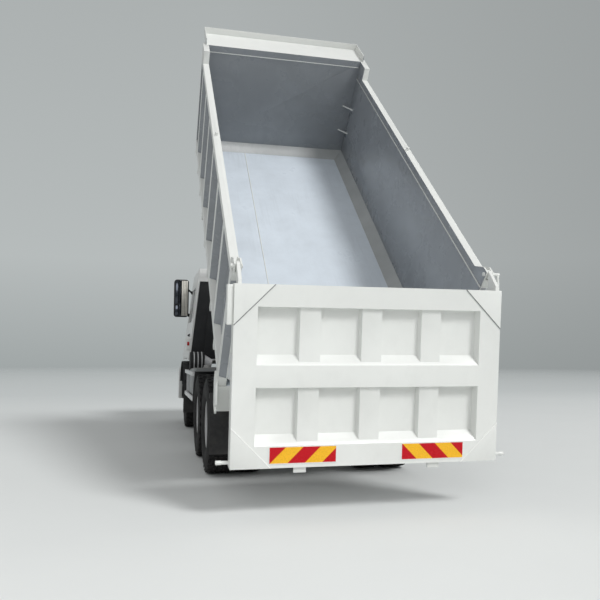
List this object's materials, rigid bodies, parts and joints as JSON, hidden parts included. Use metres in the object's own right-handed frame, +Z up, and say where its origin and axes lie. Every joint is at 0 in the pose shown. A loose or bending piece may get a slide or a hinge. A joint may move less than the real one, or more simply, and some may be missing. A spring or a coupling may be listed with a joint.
{
  "type": "dump truck",
  "caption": "Three-axle rear-tipping dump truck with a raised ribbed steel bed, a hanging tailgate, a front telescopic hoist and a tilting cab.",
  "frame": {"origin": "on the ground under the middle of the truck's length and width, bed raised", "axes": "+X to the truck's right, +Y forward, +Z up"},
  "size_m": [2.76, 9.2118, 6.2903],
  "materials": {
    "chassis_paint": "dark satin paint",
    "spring_steel": "dull black paint on leaf springs",
    "engine_iron": "cast iron",
    "tank_aluminium": "dull aluminium",
    "dark_plastic": "black grained plastic",
    "exhaust_steel": "aluminised steel",
    "cab_paint": "glossy white paint",
    "lamp_lens": "clear lamp lens",
    "guard_paint": "white paint",
    "red_lens": "red lamp lens",
    "tinted_glass": "tinted glass",
    "seat_fabric": "dark woven seat cloth",
    "floor_paint": "pale blue-grey paint, scuffed",
    "bed_paint": "white paint",
    "reflector_board": "red and yellow striped reflector sheet",
    "hoist_paint": "grey paint",
    "hoist_chrome": "chromed tube",
    "rim_paint": "silver paint",
    "tyre_rubber": "black rubber"
  },
  "bodies": {
    "chassis": {"frame_rails": "chassis_paint", "tipping_subframe": "chassis_paint", "front_axle": "chassis_paint", "drive_axles": "chassis_paint", "leaf_springs": "spring_steel", "powertrain": "engine_iron", "fuel_tank": "tank_aluminium", "battery_box": "dark_plastic", "exhaust_silencer": "exhaust_steel", "front_bumper": "cab_paint", "headlamps": "lamp_lens", "front_mudguards": "dark_plastic", "cab_steps": "dark_plastic", "side_guards": "guard_paint", "rear_mudguards": "guard_paint", "rear_lamps": "red_lens", "hoist_base": "chassis_paint"},
    "left_knuckle": {"left_knuckle": "chassis_paint"},
    "right_knuckle": {"right_knuckle": "chassis_paint"},
    "tie_rod": {"tie_rod": "chassis_paint"},
    "front_left_wheel": {"front_left_rim": "rim_paint", "front_left_tyre": "tyre_rubber"},
    "front_right_wheel": {"front_right_rim": "rim_paint", "front_right_tyre": "tyre_rubber"},
    "middle_left_wheel": {"middle_left_rims": "rim_paint", "middle_left_tyres": "tyre_rubber"},
    "middle_right_wheel": {"middle_right_rims": "rim_paint", "middle_right_tyres": "tyre_rubber"},
    "rear_left_wheel": {"rear_left_rims": "rim_paint", "rear_left_tyres": "tyre_rubber"},
    "rear_right_wheel": {"rear_right_rims": "rim_paint", "rear_right_tyres": "tyre_rubber"},
    "cab": {"cab_shell": "cab_paint", "cab_roof": "cab_paint", "cab_floor": "chassis_paint", "windscreen": "tinted_glass", "grille": "dark_plastic", "dashboard": "dark_plastic", "seats": "seat_fabric"},
    "left_door": {"left_door": "cab_paint", "left_door_glass": "tinted_glass", "left_mirror": "dark_plastic"},
    "right_door": {"right_door": "cab_paint", "right_door_glass": "tinted_glass", "right_mirror": "dark_plastic"},
    "bed": {"bed_floor": "floor_paint", "bed_left_side": "bed_paint", "bed_right_side": "bed_paint", "bed_headboard": "bed_paint"},
    "tailgate": {"tailgate": "bed_paint", "chevron_boards": "reflector_board"},
    "hoist_cover": {"hoist_cover": "hoist_paint"},
    "hoist_outer_stage": {"hoist_outer_stage": "hoist_chrome"},
    "hoist_inner_stage": {"hoist_inner_stage": "hoist_chrome"},
    "hoist_rod": {"hoist_rod": "hoist_chrome"}
  },
  "joints": [
    {"name": "bed_tip", "type": "hinge", "parent": "chassis", "child": "bed", "pos_m": [0, -3.0041, 1.145], "axis": [1, 0, 0], "range_deg": [-44.3, 3.7]},
    {"name": "tailgate_swing", "type": "hinge", "parent": "bed", "child": "tailgate", "pos_m": [0, -4.4344, 2.1525], "axis": [-1, 0, 0], "range_deg": [-37.7, 45]},
    {"name": "hoist_cover_turn", "type": "hinge", "parent": "bed", "child": "hoist_cover", "pos_m": [0, 0.50168, 5.05519], "axis": [1, 0, 0], "range_deg": [-1.75, 20.43]},
    {"name": "hoist_outer_slide", "type": "slide", "parent": "hoist_cover", "child": "hoist_outer_stage", "axis": [0, 0.4054, -0.9141], "range_m": [-1.3102, 0.1103]},
    {"name": "hoist_inner_slide", "type": "slide", "parent": "hoist_outer_stage", "child": "hoist_inner_stage", "axis": [0, 0.4054, -0.9141], "range_m": [-1.3102, 0.1103]},
    {"name": "hoist_rod_slide", "type": "slide", "parent": "hoist_inner_stage", "child": "hoist_rod", "axis": [0, 0.4054, -0.9141], "range_m": [-1.3102, 0.1103]},
    {"name": "steer_left", "type": "hinge", "parent": "chassis", "child": "left_knuckle", "pos_m": [-0.85, 3.1259, 0.56], "axis": [0, 0, 1], "range_deg": [-35, 35]},
    {"name": "steer_right", "type": "hinge", "parent": "chassis", "child": "right_knuckle", "pos_m": [0.85, 3.1259, 0.56], "axis": [0, 0, 1], "range_deg": [-35, 35]},
    {"name": "tie_rod_turn", "type": "hinge", "parent": "left_knuckle", "child": "tie_rod", "pos_m": [-0.83, 2.9359, 0.56], "axis": [0, 0, 1], "range_deg": [-35, 35]},
    {"name": "front_left_spin", "type": "hinge", "parent": "left_knuckle", "child": "front_left_wheel", "pos_m": [-1.02, 3.1259, 0.56], "axis": [1, 0, 0], "continuous": true},
    {"name": "front_right_spin", "type": "hinge", "parent": "right_knuckle", "child": "front_right_wheel", "pos_m": [1.02, 3.1259, 0.56], "axis": [1, 0, 0], "continuous": true},
    {"name": "middle_left_spin", "type": "hinge", "parent": "chassis", "child": "middle_left_wheel", "pos_m": [-0.91, -0.6991, 0.56], "axis": [1, 0, 0], "continuous": true},
    {"name": "middle_right_spin", "type": "hinge", "parent": "chassis", "child": "middle_right_wheel", "pos_m": [0.91, -0.6991, 0.56], "axis": [1, 0, 0], "continuous": true},
    {"name": "rear_left_spin", "type": "hinge", "parent": "chassis", "child": "rear_left_wheel", "pos_m": [-0.91, -2.0491, 0.56], "axis": [1, 0, 0], "continuous": true},
    {"name": "rear_right_spin", "type": "hinge", "parent": "chassis", "child": "rear_right_wheel", "pos_m": [0.91, -2.0491, 0.56], "axis": [1, 0, 0], "continuous": true},
    {"name": "cab_tilt", "type": "hinge", "parent": "chassis", "child": "cab", "pos_m": [0, 4.4099, 1.2], "axis": [-1, 0, 0], "range_deg": [0, 50]},
    {"name": "left_door_swing", "type": "hinge", "parent": "cab", "child": "left_door", "pos_m": [-1.11282, 4.1809, 1.5], "axis": [-0.1097, 0, -0.994], "range_deg": [0, 70]},
    {"name": "right_door_swing", "type": "hinge", "parent": "cab", "child": "right_door", "pos_m": [1.11282, 4.1809, 1.5], "axis": [-0.1097, 0, 0.994], "range_deg": [0, 70]}
  ],
  "couplings": [
    {"joint": "hoist_cover_turn", "follows": "bed_tip", "ratio": -0.46009},
    {"joint": "hoist_outer_slide", "follows": "bed_tip", "m_per_rad": 1.6932},
    {"joint": "hoist_inner_slide", "follows": "bed_tip", "m_per_rad": 1.6932},
    {"joint": "hoist_rod_slide", "follows": "bed_tip", "m_per_rad": 1.6932},
    {"joint": "steer_right", "follows": "steer_left", "ratio": 1},
    {"joint": "tie_rod_turn", "follows": "steer_left", "ratio": -1}
  ]
}
